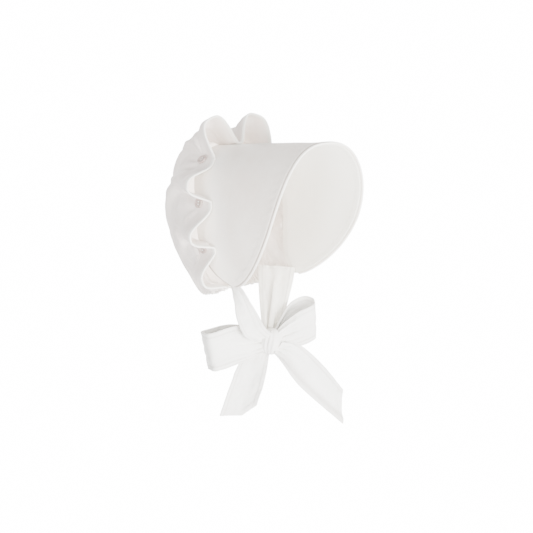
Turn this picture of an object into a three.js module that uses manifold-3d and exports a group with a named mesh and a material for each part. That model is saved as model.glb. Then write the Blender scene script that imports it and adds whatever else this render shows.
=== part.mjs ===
// A baby's sunbonnet in white cotton, in millimetres.
// +Z is up, the face looks along -Y, and +X is the wearer's left.
// The origin is where the top of the head meets the inside of the hood.
import * as THREE from "three";
import Module from "manifold-3d";
import { mergeVertices } from "three/addons/utils/BufferGeometryUtils.js";

// Hood that the brim lies on
const faceWidth = 134; // widest place of the face opening
const rearWidth = 130; // the same width at the seat of the head
const seatToWidest = 73; // from the seat down to the widest place
const lowerReach = 100; // half height of the oval below the widest place
const hornAngle = THREE.MathUtils.degToRad(134); // from the top round to a horn's tip
const brimRise = 10; // how much higher the front edge is than the seat
const topSquareness = 0.8; // 1 is a plain oval, less is squarer at the shoulders

// Brim
const seatToFront = 115; // from the seat forward to the front edge
const seatToHorn = 30; // from the seat forward to the horns' tips
const brimMargin = 9; // how far the brim reaches behind its buttons, inside the crown
const brimWall = 2.4;
const pipingRadius = 1.1;
const frontSweep = { hold: 2.1, round: 0.7 }; // how its front edge curves down to the horns
const backSweep = { hold: 8, round: 0.75 }; // and its back edge, which turns in late
const hornBluntness = 0.995; // the horns stop just short of a sharp point

// Lap of the crown over the brim, and its waves
const lapBack = 10; // the lap's edge at the top lies this far behind the seat
const lapSweep = 28; // and comes this far forward on its way down to the jaw
const buttonInset = 18; // from the lap's edge to the line of the buttons
const lapDepth = 27; // from the lap's edge to where the crown leaves the brim
const waveStand = 33; // how far the highest waves stand off the brim
const waveSetback = 9; // how far a wave's edge draws back
const crownWall = 1.2;
const bindingRadius = 1.1;
const bedMargin = 0.6; // flat cloth kept beside a button
const slackRise = 1.5; // how slowly a drooping wave rises below its upper button

// Bag of the crown
const bagDepth = 102; // from the seat back to the fullest place
const bagWidth = 130;
const neckDrop = 164; // from the seat down to the back of the neck
const neckWidth = 99;
const jawLength = 13; // from the lap's foot to the neck
const jawWay = { inward: 0.5, back: 0.92, down: 0.38 }; // inward in millimetres, the rest as shares
const gatherDepth = 1.3; // of the small folds at the neck
const gathersPerBay = 2.5;

// Buttons
const buttonDiameter = 10.5;
const buttonThickness = 2.2;
const buttonHole = 1.6;
const buttonHoleSpacing = 3;

// Sash and bow
const sashWidth = 42;
const sashWall = 1.1;
const tieLap = 6; // how far a tie runs up inside a horn
const tiePleat = 0.8; // depth of the small folds at a tie's top
const foldedTieWidth = 23; // of the right tie, which is folded over lengthwise
const knotDrop = 210; // from the seat down to the middle of the knot
const knotForward = 37; // and forward to it
const knotWidth = 21;
const knotHeight = 29;
const knotDepth = 23;
const knotFold = 0.9; // depth of the folds round the knot
const knotFolds = 5;
const knotSlant = 1.2; // how far the folds turn from the top to the foot, in radians
const knotRoundness = 0.75; // 1 is an egg, less is fuller at the shoulders
const bowTurn = THREE.MathUtils.degToRad(22.5); // the bow is turned to the wearer's right
const rightLoopLength = 74;
const leftLoopLength = 52;
const rightTailLength = 84;
const leftTailLength = 96;

const clearance = 0.3; // between neighbours that touch

const v3 = (x, y, z) => new THREE.Vector3(x, y, z);
const lerp = THREE.MathUtils.lerp;
const smooth = (x) => x * x * (3 - 2 * x);

// The smooth line through equally spaced values, read at a share from 0 to 1
function splineAt(values, share) {
  const last = values.length - 1;
  const place = THREE.MathUtils.clamp(share, 0, 1) * last;
  const k = Math.min(Math.floor(place), last - 1);
  const t = place - k;
  const b = values[k];
  const c = values[k + 1];
  const a = k > 0 ? values[k - 1] : 2 * b - c;
  const d = k + 2 <= last ? values[k + 2] : 2 * c - b;
  const curve = t * (2 * a - 5 * b + 4 * c - d) + t * t * (3 * b - a - 3 * c + d);
  return b + (t * (c - a) + t * curve) / 2;
}

// The smooth line through equally spaced points
function splinePoint(points, share) {
  const axis = (name) => splineAt(points.map((p) => p[name]), share);
  return v3(axis("x"), axis("y"), axis("z"));
}

// A closed sheet of even thickness about a grid of middle points, rows of columns
function sheetGeometry(grid, wall) {
  const rows = grid.length;
  const columns = grid[0].length;
  const positions = [];
  const at = (i, j) => grid[THREE.MathUtils.clamp(i, 0, rows - 1)][THREE.MathUtils.clamp(j, 0, columns - 1)];
  for (const side of [1, -1]) {
    for (let i = 0; i < rows; i++) {
      for (let j = 0; j < columns; j++) {
        const along = at(i, j + 1).clone().sub(at(i, j - 1));
        const across = at(i + 1, j).clone().sub(at(i - 1, j));
        const normal = along.cross(across).normalize().multiplyScalar((side * wall) / 2);
        positions.push(...at(i, j).clone().add(normal).toArray());
      }
    }
  }
  const size = rows * columns;
  const index = [];
  const quad = (a, b, c, d) => index.push(a, b, c, a, c, d);
  for (let i = 0; i + 1 < rows; i++) {
    for (let j = 0; j + 1 < columns; j++) {
      const a = i * columns + j;
      const b = a + columns;
      quad(a, a + 1, b + 1, b);
      quad(size + a, size + b, size + b + 1, size + a + 1);
    }
  }
  const border = [];
  for (let j = 0; j + 1 < columns; j++) border.push(j);
  for (let i = 0; i + 1 < rows; i++) border.push(i * columns + columns - 1);
  for (let j = columns - 1; j > 0; j--) border.push((rows - 1) * columns + j);
  for (let i = rows - 1; i > 0; i--) border.push(i * columns);
  border.forEach((a, k) => {
    const b = border[(k + 1) % border.length];
    quad(b, a, size + a, size + b);
  });
  const geometry = new THREE.BufferGeometry();
  geometry.setAttribute("position", new THREE.Float32BufferAttribute(positions, 3));
  geometry.setIndex(index);
  return geometry;
}

// The corners of a flat ring
function ring(x, y, radius, sides) {
  return Array.from({ length: sides }, (_, k) => {
    const turn = (2 * Math.PI * k) / sides;
    return new THREE.Vector2(x + radius * Math.cos(turn), y + radius * Math.sin(turn));
  });
}

// A round cord along a line of points
function cordGeometry(points, radius, steps, sides) {
  const extrudePath = new THREE.CatmullRomCurve3(points);
  return new THREE.ExtrudeGeometry(new THREE.Shape(ring(0, 0, radius, sides)), { steps, extrudePath });
}

// Points beside a sheet's first row, in the sheet's own plane
function besideEdge(edge, next, distance) {
  return edge.map((point, j) => {
    const tangent = edge[Math.min(j + 1, edge.length - 1)].clone().sub(edge[Math.max(j - 1, 0)]).normalize();
    const inward = next[j].clone().sub(point);
    const outward = inward.addScaledVector(tangent, -inward.dot(tangent)).normalize().negate();
    return point.clone().addScaledVector(outward, distance);
  });
}

// Hood

const hoodHalfWidth = (y) => lerp(rearWidth, faceWidth, -y / seatToFront) / 2;
const hoodTop = (y) => brimWall / 2 - (brimRise * y) / seatToFront;

// A point of the hood's middle surface, at a depth and an angle from the top, positive on the left
function hoodPoint(y, angle) {
  const turn = Math.abs(angle);
  const bend = turn < Math.PI / 2 ? topSquareness : 1;
  const height = turn < Math.PI / 2 ? hoodTop(y) + seatToWidest : lowerReach;
  const x = Math.sign(angle) * hoodHalfWidth(y) * Math.pow(Math.abs(Math.sin(turn)), bend);
  return v3(x, y, height * Math.cos(turn) - seatToWidest);
}

// The way straight out of the hood
function hoodNormal(y, angle) {
  const step = 0.01;
  const round = hoodPoint(y, angle + step).sub(hoodPoint(y, angle - step));
  const along = hoodPoint(y + 1, angle).sub(hoodPoint(y - 1, angle));
  return round.cross(along).normalize();
}

// The angle at a share of the way round the hood, from -1 at the right foot to 1 at the left
const lapFootAngle = hornAngle + THREE.MathUtils.degToRad(2.5);
const girthSteps = 240;
const girth = [0];
for (let k = 1; k <= girthSteps; k++) {
  const before = hoodPoint(0, (lapFootAngle * (k - 1)) / girthSteps);
  const here = hoodPoint(0, (lapFootAngle * k) / girthSteps);
  girth.push(girth[k - 1] + here.distanceTo(before));
}
function hoodAngle(share) {
  const goal = Math.abs(share) * girth[girthSteps];
  let k = 1;
  while (k < girthSteps && girth[k] < goal) k++;
  const t = (goal - girth[k - 1]) / (girth[k] - girth[k - 1]);
  return (Math.sign(share) * lapFootAngle * (k - 1 + t)) / girthSteps;
}

// The share of the way round at which the hood has an angle
function girthShare(angle) {
  const place = (angle / lapFootAngle) * girthSteps;
  const k = Math.min(Math.floor(place), girthSteps - 1);
  return lerp(girth[k], girth[k + 1], place - k) / girth[girthSteps];
}

// Lap of the crown

const bays = 8; // waves between the two jaws, with a button at each join
const bayLength = girth[girthSteps] / (bays / 2);

// One row for each button from the top down, and one for the jaw.
// forward: share of lapSweep. stand: the wave below that button, as a share of waveStand.
// droop: how far that wave's crest leans towards its lower button, 1 for the middle.
// sag: how far the crest hangs down, as a share of waveStand.
const lapTable = [
  { forward: 0, stand: 1, droop: 1, sag: 0 },
  { forward: 0.25, stand: 0.8, droop: 1.6, sag: 0.16 },
  { forward: 0.9, stand: 0.75, droop: 1.35, sag: 0.05 },
  { forward: 1.04, stand: 0.64, droop: 1, sag: 0 },
  { forward: 1, stand: 0, droop: 1, sag: 0 },
];
const lapEdge = (share) => lapBack - lapSweep * splineAt(lapTable.map((row) => row.forward), Math.abs(share));

// Brim

// How far back an edge still reaches at a share of the drop, 1 at the top and 0 at the horns
const sweepAt = (drop, { hold, round }) => Math.pow(1 - Math.pow(drop, hold), round);

// The share of the drop from the hood's top to a horn's tip
const hoodDrop = seatToWidest - lowerReach * Math.cos(hornAngle);
const dropShare = (angle) => THREE.MathUtils.clamp(-hoodPoint(0, angle).z / hoodDrop, 0, 1);

// A point of the brim at a share of the way round, from its front edge at 0 to its back at 1
function brimPoint(share, depth) {
  const drop = dropShare(hoodAngle(share));
  const frontReach = seatToFront - seatToHorn;
  const backReach = seatToHorn + lapEdge(share) + buttonInset + brimMargin;
  const front = -seatToHorn - frontReach * sweepAt(drop, frontSweep);
  const back = -seatToHorn + backReach * sweepAt(drop, backSweep);
  return hoodPoint(lerp(front, back, depth), hoodAngle(share));
}

const brimColumns = 36;
const brimRows = 6;
const columnCrowding = 0.7; // how much closer the columns stand near the horns
const hornShare = girthShare(hornAngle * hornBluntness);
const brimShares = Array.from({ length: brimColumns + 1 }, (_, j) => {
  const place = (2 * j) / brimColumns - 1;
  return hornShare * lerp(place, Math.sin((place * Math.PI) / 2), columnCrowding);
});
const brimGrid = Array.from({ length: brimRows + 1 }, (_, i) =>
  brimShares.map((share) => brimPoint(share, i / brimRows)),
);

const pipingPoints = besideEdge(brimGrid[0], brimGrid[1], pipingRadius + clearance);

// Crown

// How much of its wave stands off at a share of the way round, 0 on the buttons.
// bed: how much of the flat cloth beside a button is kept, 1 on the line of the buttons
const buttonBed = (buttonDiameter / 2 + bedMargin) / bayLength; // as a share of a bay
const bayAt = (share) => Math.min(Math.floor((Math.abs(share) * bays) / 2), bays / 2 - 1);
function waveAt(share, bed) {
  const place = (Math.abs(share) * bays) / 2;
  const bay = bayAt(share);
  const flat = buttonBed * bed;
  const t = THREE.MathUtils.clamp((place - bay - flat) / (1 - 2 * flat), 0, 1);
  const drooped = Math.pow(t, lapTable[bay].droop);
  const rise = Math.sin(Math.PI * drooped);
  const slack = drooped < 0.5 && bay > 0;
  return lapTable[bay].stand * (slack ? Math.pow(rise, slackRise) : smooth(rise));
}

// How far the middle of the crown's cloth lies off the middle of the brim's where it is buttoned
// down. Its bound edge is thicker than the cloth behind it.
const lapOff = (inset) => brimWall / 2 + clearance + (inset > 0 ? crownWall / 2 : bindingRadius);

// A point of the lap, at a distance behind its edge, with a share of the wave's height
function lapPoint(share, inset, stand, bed) {
  const wave = waveAt(share, bed);
  const angle = hoodAngle(share);
  const y = lapEdge(share) + inset + waveSetback * wave * stand;
  const off = lapOff(inset) + waveStand * wave * stand;
  const sag = v3(0, 0, -lapTable[bayAt(share)].sag * waveStand * wave * stand);
  return hoodPoint(y, angle).addScaledVector(hoodNormal(y, angle), off).add(sag);
}

// Rows of the lap from its edge back. inset: share of lapDepth. stand: share of the wave.
// bed: share of the flat cloth beside the buttons.
const lapRows = [
  { inset: 0, stand: 1, bed: 0.35 },
  { inset: 0.38, stand: 0.94, bed: 1 },
  { inset: buttonInset / lapDepth, stand: 0.76, bed: 1 },
  { inset: 1, stand: 0.58, bed: 1 },
];

// Rows of the bag from the lap round to the neck, each an arch from jaw to jaw.
// back: share of bagDepth and drop: share of neckDrop, at the middle of the arch.
// width: share of bagWidth. bulge: share of bagDepth that its sides bow out backwards.
// foot: how far along the jaw the arch ends. stand: share of the wave left in it.
const bagRows = [
  { back: 0.55, drop: 0.0, width: 1.03, bulge: 0.03, foot: 0.35, stand: 0.36 },
  { back: 0.78, drop: 0.12, width: 1.01, bulge: 0.04, foot: 0.45, stand: 0.24 },
  { back: 0.93, drop: 0.34, width: 0.94, bulge: 0.03, foot: 0.55, stand: 0.16 },
  { back: 0.91, drop: 0.58, width: 0.87, bulge: 0.01, foot: 0.65, stand: 0.13 },
  { back: 0.71, drop: 0.82, width: 0.79, bulge: 0, foot: 0.78, stand: 0.12 },
  { back: 0.5, drop: 0.97, width: 0.77, bulge: 0, foot: 0.9, stand: 0.1 },
  { back: 0.38, drop: 1.0, width: neckWidth / bagWidth, bulge: 0, foot: 1, stand: 0 },
];

// The jaw edge, where every row of the crown ends, from the lap's edge to the neck
const lapFoot = lapPoint(1, 0, 0, 1);
const neckFoot = v3(
  neckWidth / 2 - jawWay.inward,
  lapFoot.y + jawLength * jawWay.back,
  lapFoot.z - jawLength * jawWay.down,
);
const bagCentre = v3(0, 0, -seatToWidest);

function bagPoint(row, share) {
  const foot = lapFoot.clone().lerp(neckFoot, row.foot);
  const half = Math.max((row.width * bagWidth) / 2, foot.x);
  const footAngle = Math.PI - Math.asin(foot.x / half);
  const angle = footAngle * Math.abs(share);
  const up = (Math.cos(angle) - Math.cos(footAngle)) / (1 - Math.cos(footAngle));
  const bend = angle < Math.PI / 2 ? lerp(topSquareness, 1, row.drop) : 1;
  const x = Math.sign(share) * half * Math.pow(Math.sin(angle), bend);
  const y = lerp(foot.y, row.back * bagDepth, up) + row.bulge * bagDepth * Math.sin(Math.PI * up);
  const z = lerp(foot.z, -row.drop * neckDrop, up);
  const point = v3(x, y, z);
  const outward = point.clone().sub(bagCentre).normalize();
  return point.add(outward.multiplyScalar(waveStand * waveAt(share, 1) * row.stand));
}

// Every row at one share of the way round, then the smooth line through them. The last rows
// are gathered into small folds.
const gatherStart = 8;
const gatherRows = 2;
function crownLine(share) {
  const lap = lapRows.map((row) => lapPoint(share, row.inset * lapDepth, row.stand, row.bed));
  const bag = bagRows.map((row) => bagPoint(row, share));
  return [...lap, ...bag];
}
function crownPoint(line, row, share) {
  const point = splinePoint(line, row / (line.length - 1));
  const nearNeck = smooth(THREE.MathUtils.clamp((row - gatherStart) / gatherRows, 0, 1));
  const fold = Math.cos(Math.PI * bays * gathersPerBay * share);
  const outward = v3(point.x, point.y, 0).normalize();
  return point.add(outward.multiplyScalar(gatherDepth * nearNeck * fold));
}

const columnsPerBay = 10;
const crownRowPlaces = [0, 1, 2, 3, 3.5, 4, 4.5, 5, 5.5, 6, 7, 8, 9, 10];
const bayPlaces = Array.from({ length: columnsPerBay }, (_, k) => {
  const rest = (1 - 2 * buttonBed) / (columnsPerBay - 2);
  return k === 0 ? 0 : buttonBed + (k - 1) * rest;
});
const crownShares = [];
for (let bay = 0; bay < bays; bay++) {
  for (const place of bayPlaces) crownShares.push((2 * (bay + place)) / bays - 1);
}
crownShares.push(1);
const crownLines = crownShares.map(crownLine);
const crownGrid = crownRowPlaces.map((row) =>
  crownShares.map((share, j) => crownPoint(crownLines[j], row, share)),
);

const bindingPoints = besideEdge(crownGrid[0], crownGrid[1], bindingRadius + clearance);

// Buttons

function buttonGeometry() {
  const half = buttonHoleSpacing / 2;
  const face = new THREE.Shape(ring(0, 0, buttonDiameter / 2, 16));
  for (const [x, y] of [[half, half], [-half, half], [-half, -half], [half, -half]]) {
    face.holes.push(new THREE.Path(ring(x, y, buttonHole / 2, 6)));
  }
  return new THREE.ExtrudeGeometry(face, { depth: buttonThickness, bevelEnabled: false });
}

function placeButton(mesh, share) {
  const y = lapEdge(share) + buttonInset;
  const angle = hoodAngle(share);
  const normal = hoodNormal(y, angle);
  const lift = lapOff(buttonInset) + crownWall / 2 + clearance;
  mesh.position.copy(hoodPoint(y, angle).add(normal.clone().multiplyScalar(lift)));
  mesh.quaternion.setFromUnitVectors(v3(0, 0, 1), normal);
}

// Bow, in its own directions: along to the wearer's left, up, and out to the front

const knotCentre = v3(0, -knotForward, -knotDrop);
const bowAlong = v3(Math.cos(bowTurn), -Math.sin(bowTurn), 0);
const bowOut = v3(-Math.sin(bowTurn), -Math.cos(bowTurn), 0);
function bowVector(along, up, out) {
  return bowAlong.clone().multiplyScalar(along).add(bowOut.clone().multiplyScalar(out)).add(v3(0, 0, up));
}
const bowPoint = (along, up, out) => bowVector(along, up, out).add(knotCentre);

// A knot with upright folds wrapped round it
function knotGeometry(grow) {
  const rings = 10;
  const sides = 20;
  const grid = [];
  for (let i = 0; i <= rings; i++) {
    const rise = Math.PI * (i / rings);
    const row = [];
    for (let j = 0; j < sides; j++) {
      const turn = (2 * Math.PI * j) / sides;
      const slant = knotSlant * Math.cos(rise);
      const fold = grow + knotFold * Math.sin(rise) * Math.cos(knotFolds * turn + slant);
      const round = Math.pow(Math.sin(rise), knotRoundness);
      row.push(bowPoint(
        (knotWidth / 2 + fold) * round * Math.cos(turn),
        (knotHeight / 2 + grow) * Math.cos(rise),
        (knotDepth / 2 + fold) * round * Math.sin(turn),
      ));
    }
    grid.push(row);
  }
  const positions = grid.flat().flatMap((p) => p.toArray());
  const index = [];
  for (let i = 0; i < rings; i++) {
    for (let j = 0; j < sides; j++) {
      const a = i * sides + j;
      const b = i * sides + ((j + 1) % sides);
      if (i > 0) index.push(a, b, b + sides);
      if (i < rings - 1) index.push(a, b + sides, a + sides);
    }
  }
  const geometry = new THREE.BufferGeometry();
  geometry.setAttribute("position", new THREE.Float32BufferAttribute(positions, 3));
  geometry.setIndex(index);
  return mergeVertices(geometry);
}

const wasm = await Module();
wasm.setup();

function toSolid(geometry) {
  const bare = geometry.clone();
  for (const name of Object.keys(bare.attributes)) if (name !== "position") bare.deleteAttribute(name);
  const merged = mergeVertices(bare);
  return new wasm.Manifold(new wasm.Mesh({
    numProp: 3,
    vertProperties: new Float32Array(merged.attributes.position.array),
    triVerts: new Uint32Array(merged.index.array),
  }));
}

function toGeometry(solid) {
  const mesh = solid.getMesh();
  const geometry = new THREE.BufferGeometry();
  geometry.setAttribute("position", new THREE.Float32BufferAttribute(mesh.vertProperties, 3));
  geometry.setIndex(new THREE.Uint32BufferAttribute(mesh.triVerts, 1));
  return geometry;
}

// The hollow that the knot needs, with its clearance
const knotRoom = toSolid(knotGeometry(clearance));

// A point of a length of sash through sections, each with its middle and the way to one edge.
// pleat: depth of the lengthwise folds. cup: how far the middle is pushed out of the flat.
// profile: places across, -1 to 1, with a lift off the flat as a share of the wall.
// corner: how much shorter one edge is, as a share of the length, where the end is cut on the slant.
function sashPoint(sections, t, across, lift, pleats) {
  const step = 0.01;
  const middle = splinePoint(sections.map((s) => s.middle), t);
  const edge = splinePoint(sections.map((s) => s.edge), t);
  const pleat = splineAt(sections.map((s) => s.pleat), t);
  const cup = splineAt(sections.map((s) => s.cup), t);
  const later = splinePoint(sections.map((s) => s.middle), Math.min(t + step, 1));
  const earlier = splinePoint(sections.map((s) => s.middle), Math.max(t - step, 0));
  const normal = edge.clone().cross(later.sub(earlier)).normalize();
  const fold = pleat * Math.cos(Math.PI * pleats * (across + 1));
  const out = fold + cup * (1 - across * across) + lift * sashWall;
  return middle.addScaledVector(edge, across).addScaledVector(normal, out);
}
function sashGeometry(sections, profile, steps, pleats, corner = 0) {
  const grid = Array.from({ length: steps + 1 }, (_, i) =>
    profile.map(([across, lift]) => {
      const end = 1 - corner * THREE.MathUtils.clamp(across * 1.5 - 0.5, 0, 1);
      return sashPoint(sections, (end * i) / steps, across, lift, pleats);
    }),
  );
  return sheetGeometry(grid, sashWall);
}
const flatProfile = (columns) => Array.from({ length: columns + 1 }, (_, j) => [(2 * j) / columns - 1, 0]);

// A loop or tail, from a table with lengths along as shares of its own length
// and all others as shares of the sash width.
function bowSections(table, length) {
  return table.map(([along, up, out, edgeAlong, edgeUp, edgeOut, pleat, cup]) => ({
    middle: bowPoint(along * length, up * sashWidth, out * sashWidth),
    edge: bowVector(edgeAlong * sashWidth, edgeUp * sashWidth, edgeOut * sashWidth),
    pleat: pleat * sashWidth,
    cup: cup * sashWidth,
  }));
}

// Columns of each table: along, up, out, edge along, edge up, edge out, pleat, cup
const rightLoopTable = [
  [-0.08, -0.03, -0.1, 0, 0.18, 0, 0.03, 0],
  [-0.3, 0.0, -0.16, 0, 0.38, 0, 0.02, 0],
  [-0.6, 0.01, -0.21, 0, 0.49, 0, 0, 0],
  [-0.93, -0.08, -0.22, -0.08, 0.49, 0, 0, 0],
  [-0.98, -0.08, -0.02, -0.09, 0.49, 0, 0, 0],
  [-0.93, -0.05, 0.17, -0.08, 0.49, 0, 0, 0],
  [-0.6, 0.03, 0.14, 0, 0.5, 0, 0, 0],
  [-0.3, 0.0, 0.03, 0, 0.38, 0, 0.025, 0],
  [-0.08, -0.03, -0.01, 0, 0.2, 0, 0.03, 0],
];
const leftLoopTable = [
  [0.08, 0.0, -0.06, 0, -0.2, 0, 0.035, 0],
  [0.3, 0.22, -0.16, 0.04, -0.34, 0, 0.03, 0],
  [0.6, 0.45, -0.23, 0.1, -0.45, 0, 0, 0],
  [0.88, 0.57, -0.2, 0.1, -0.48, 0, 0, 0],
  [0.98, 0.54, 0.0, 0.02, -0.48, 0, 0, 0],
  [0.91, 0.45, 0.2, 0.02, -0.46, 0, 0, 0],
  [0.6, 0.32, 0.22, 0.05, -0.44, 0, 0, 0],
  [0.3, 0.15, 0.12, 0.04, -0.32, 0, 0.03, 0],
  [0.08, 0.0, 0.05, 0, -0.2, 0, 0.035, 0],
];
const rightTailTable = [
  [-0.04, -0.16, -0.2, 0.17, 0.05, 0, 0.03, 0],
  [-0.16, -0.48, -0.3, 0.36, 0.04, 0.05, 0.02, 0],
  [-0.3, -1.1, -0.16, 0.42, 0.02, 0.12, 0, 0.1],
  [-0.47, -1.93, -0.08, 0.4, 0.0, 0.16, 0, 0.08],
];
const leftTailTable = [
  [0.05, -0.12, 0.2, 0.12, 0.12, 0, 0.04, 0],
  [0.19, -0.3, 0.26, 0.24, 0.2, 0, 0.035, 0],
  [0.46, -0.99, 0.22, 0.28, 0.29, 0.05, 0, 0.06],
  [0.9, -2.03, 0.08, -0.02, 0.49, 0.04, 0, 0.05],
];

// The ties hang from inside the horns to the knot. A point of a horn's inner face, as far
// below the widest place as the ties' top edge, on the side with that sign:
const tieAngle = Math.PI - Math.asin(Math.sin(hornAngle)) - tieLap / lowerReach;
function insideHorn(side, y) {
  const inset = brimWall / 2 + clearance + tiePleat + sashWall / 2;
  return hoodPoint(y, side * tieAngle).addScaledVector(hoodNormal(y, side * tieAngle), -inset);
}

// Columns of each table: share of the way down, then along, up and out from that straight line,
// then the turn of the edge from the horn's to the knot's, pleat as a share of tiePleat, cup
const leftTieTable = [
  [0, 0, 0, 0, 0, 1, 0],
  [0.2, 0, 0, 0, 0.1, 1.3, 0],
  [0.6, 0, 0, 0, 0.5, 1, 0],
  [1, 0, 0, 0, 1, 1.8, 0],
];
const rightTieTable = [
  [0, 0, 0, 0, 0, 1, 0],
  [0.3, -0.07, 0, 0.02, 0.5, 0, 0],
  [0.6, -0.17, 0, 0.12, 1, 0, 0],
  [0.85, -0.21, 0.02, 0.2, 1.05, 0, 0],
  [1, 0, 0, 0, 0.85, 1, 0],
];
function tieSections(table, front, back, end) {
  const top = front.clone().add(back).multiplyScalar(0.5);
  const topEdge = front.clone().sub(back).multiplyScalar(0.5);
  return table.map(([down, along, up, out, turn, pleat, cup]) => ({
    middle: top.clone().lerp(end.middle, down).add(bowVector(along, up, out).multiplyScalar(sashWidth)),
    edge: topEdge.clone().lerp(end.edge, turn),
    pleat: pleat * tiePleat,
    cup: cup * sashWidth,
  }));
}

// Where each tie is sewn in, as a share of the way to the horn, and the way of its top edge.
// The left tie's top edge slants in from the horn, across the back of the jaw.
const leftTieSeat = 0.9;
const leftTieWay = v3(-0.45, 0.89, 0);
const rightTieSeat = 1.07;
const rightTieWay = v3(0.4, 0.92, 0);
const leftFront = insideHorn(1, -seatToHorn * leftTieSeat);
const leftBack = leftFront.clone().addScaledVector(leftTieWay, sashWidth);
const leftEnd = {
  middle: bowPoint(0.08 * sashWidth, 0.16 * sashWidth, -0.2 * sashWidth),
  edge: bowVector(0.22 * sashWidth, 0, 0),
};
const leftTie = tieSections(leftTieTable, leftFront, leftBack, leftEnd);

// The right tie is folded over lengthwise, its back edge lying over its face
const rightFront = insideHorn(-1, -seatToHorn * rightTieSeat);
const rightBack = rightFront.clone().addScaledVector(rightTieWay, foldedTieWidth);
const rightEnd = {
  middle: bowPoint(-0.25 * sashWidth, 0.13 * sashWidth, 0.15 * sashWidth),
  edge: bowVector(0.46 * foldedTieWidth, 0.16 * foldedTieWidth, 0),
};
const rightTie = tieSections(rightTieTable, rightFront, rightBack, rightEnd);
// Columns: place across, and lift off the face as a share of the wall
const foldedProfile = [
  [1, 0], [0.6, 0], [0.2, 0], [-0.2, 0], [-0.6, 0], [-0.92, 0], [-1, 1], [-0.92, 2], [-0.6, 2], [-0.2, 2],
];

const cutForKnot = (geometry) => toGeometry(toSolid(geometry).subtract(knotRoom));

// Assembly

const cotton = { color: 0xf3f1ec, roughness: 0.92, metalness: 0 };
const pearl = { color: 0xe9e4d8, roughness: 0.3, metalness: 0 };
const bonnet = new THREE.Group();
function add(name, geometry, look) {
  const mesh = new THREE.Mesh(geometry, new THREE.MeshStandardMaterial(look));
  mesh.name = name;
  bonnet.add(mesh);
  return mesh;
}

add("brim", sheetGeometry(brimGrid, brimWall), cotton);
add("brim_piping", cordGeometry(pipingPoints, pipingRadius, 48, 6), cotton);
add("crown", sheetGeometry(crownGrid, crownWall), cotton);
add("crown_binding", cordGeometry(bindingPoints, bindingRadius, 112, 5), cotton);
for (let k = 1; k < bays; k++) {
  placeButton(add(`button_${k}`, buttonGeometry(), pearl), (2 * k) / bays - 1);
}
add("tie_right", cutForKnot(sashGeometry(rightTie, foldedProfile, 12, 2)), cotton);
add("tie_left", cutForKnot(sashGeometry(leftTie, flatProfile(8), 10, 3)), cotton);
add("bow_knot", knotGeometry(0), cotton);
const bowPieces = [
  ["bow_loop_right", rightLoopTable, rightLoopLength, 20, 0],
  ["bow_loop_left", leftLoopTable, leftLoopLength, 20, 0],
  ["bow_tail_right", rightTailTable, rightTailLength, 9, 0.1],
  ["bow_tail_left", leftTailTable, leftTailLength, 9, 0],
];
for (const [name, table, length, steps, corner] of bowPieces) {
  add(name, cutForKnot(sashGeometry(bowSections(table, length), flatProfile(6), steps, 2, corner)), cotton);
}

export default bonnet;
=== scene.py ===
import math

import bpy
import numpy as np
from mathutils import Matrix, Vector


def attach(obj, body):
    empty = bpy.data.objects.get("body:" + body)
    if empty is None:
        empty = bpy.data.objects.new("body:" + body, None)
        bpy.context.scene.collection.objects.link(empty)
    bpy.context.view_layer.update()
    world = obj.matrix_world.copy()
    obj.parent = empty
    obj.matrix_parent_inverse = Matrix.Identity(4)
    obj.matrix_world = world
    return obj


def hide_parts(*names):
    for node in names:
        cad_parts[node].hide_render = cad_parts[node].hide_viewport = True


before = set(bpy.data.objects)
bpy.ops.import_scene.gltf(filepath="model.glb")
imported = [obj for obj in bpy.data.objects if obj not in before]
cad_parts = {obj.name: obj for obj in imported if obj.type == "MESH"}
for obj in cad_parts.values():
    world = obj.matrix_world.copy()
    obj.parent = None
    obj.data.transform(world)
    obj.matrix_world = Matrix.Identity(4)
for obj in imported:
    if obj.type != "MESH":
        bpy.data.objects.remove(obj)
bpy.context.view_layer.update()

MM = 0.001
bpy.ops.object.select_all(action="DESELECT")

# Camera

CAMERA_AZIMUTH = math.radians(-45)
CAMERA_HEIGHT = math.radians(12)
CAMERA_DISTANCE = 1.2
CAMERA_AIM = Vector((0, -0.030, -0.1277))
SENSOR_WIDTH, LENS = 36, 75.05  # both in millimetres


def place_facing_bonnet(name, data, place):
    """Puts a camera or a lamp at a place, turned to the bonnet."""
    added = bpy.data.objects.new(name, data)
    bpy.context.scene.collection.objects.link(added)
    added.location = place
    added.rotation_euler = (CAMERA_AIM - Vector(place)).to_track_quat("-Z", "Y").to_euler()
    return added


def photo_camera():
    """Looks from the wearer's front right, a little above."""
    data = bpy.data.cameras.new("camera")
    data.sensor_width = SENSOR_WIDTH
    data.lens = LENS
    across = math.cos(CAMERA_HEIGHT)
    x, y = math.sin(CAMERA_AZIMUTH) * across, -math.cos(CAMERA_AZIMUTH) * across
    place = CAMERA_AIM + Vector((x, y, math.sin(CAMERA_HEIGHT))) * CAMERA_DISTANCE
    bpy.context.scene.camera = place_facing_bonnet("camera", data, place)


photo_camera()

# Light and room, in metres and watts

ROOM_LIGHT = 1.6
WALL_BRIGHTNESS = 16  # the paper behind is lit until it is plain white


def studio_lamp(name, place, size, watts):
    """A soft square lamp that faces the bonnet."""
    data = bpy.data.lights.new(name, "AREA")
    data.size = size
    data.energy = watts
    place_facing_bonnet(name, data, place)


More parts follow.
